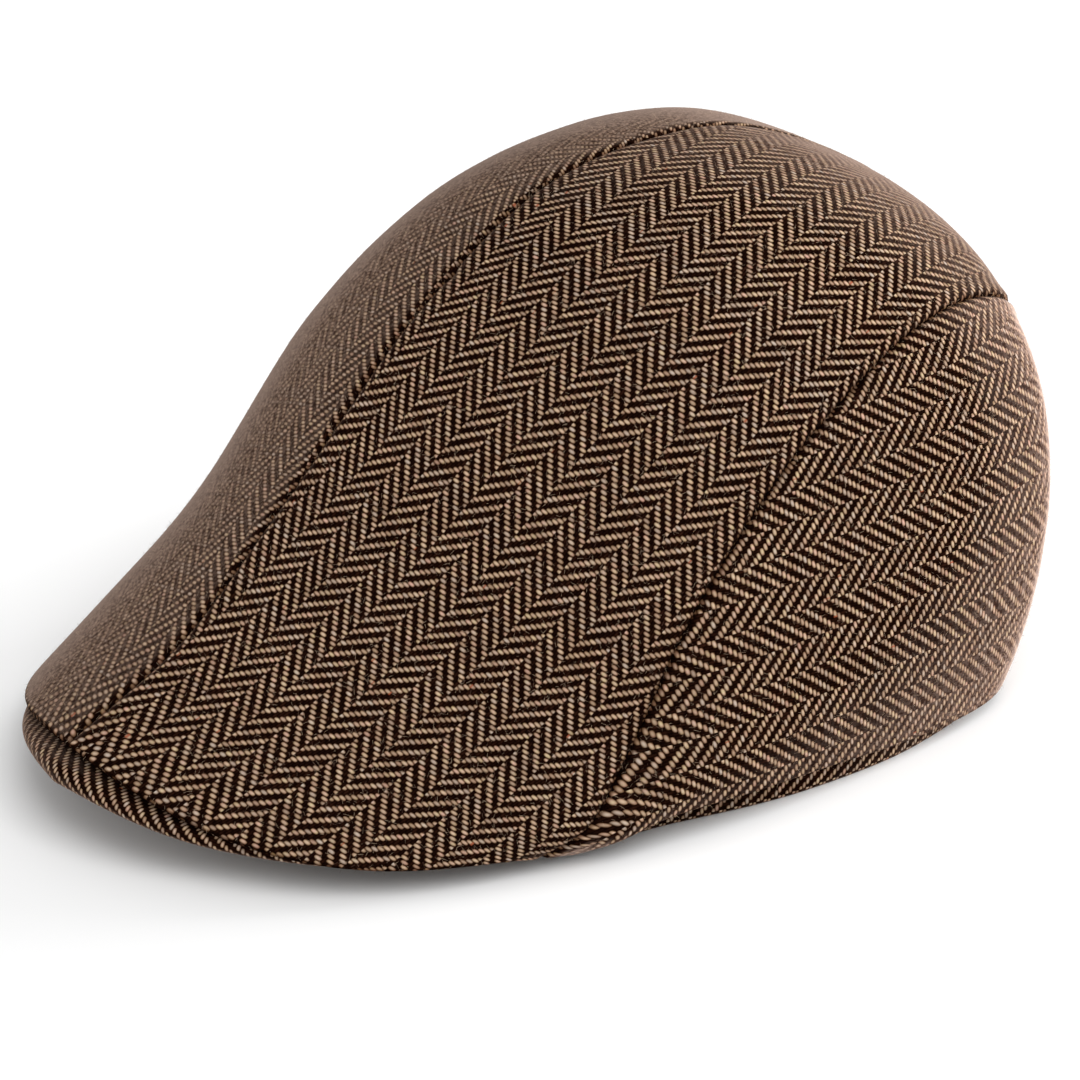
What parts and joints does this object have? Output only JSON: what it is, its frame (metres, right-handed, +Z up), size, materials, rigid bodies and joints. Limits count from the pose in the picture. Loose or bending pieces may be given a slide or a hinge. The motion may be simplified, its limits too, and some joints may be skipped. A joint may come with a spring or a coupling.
{
  "type": "hunting cap",
  "caption": "Soft herringbone cloth cap with a rounded crown, a stiff duckbill peak under its front and a folded headband.",
  "frame": {"origin": "on the floor, under the middle of the cap's length and width, where it rests on its headband", "axes": "+Z up, -Y towards the front of the cap, +X towards the wearer's left"},
  "size_m": [0.1976, 0.2652, 0.1416],
  "materials": {
    "top_panel_left": "brown and beige herringbone wool",
    "top_panel_right": "brown and beige herringbone wool",
    "side_panel_left": "brown and beige herringbone wool",
    "side_panel_right": "brown and beige herringbone wool",
    "peak": "the same wool over a stiff board",
    "headband": "the same wool, folded"
  },
  "bodies": {
    "root": {"top_panel_left": "top_panel_left", "top_panel_right": "top_panel_right", "side_panel_left": "side_panel_left", "side_panel_right": "side_panel_right", "peak": "peak", "headband": "headband"}
  },
  "joints": []
}
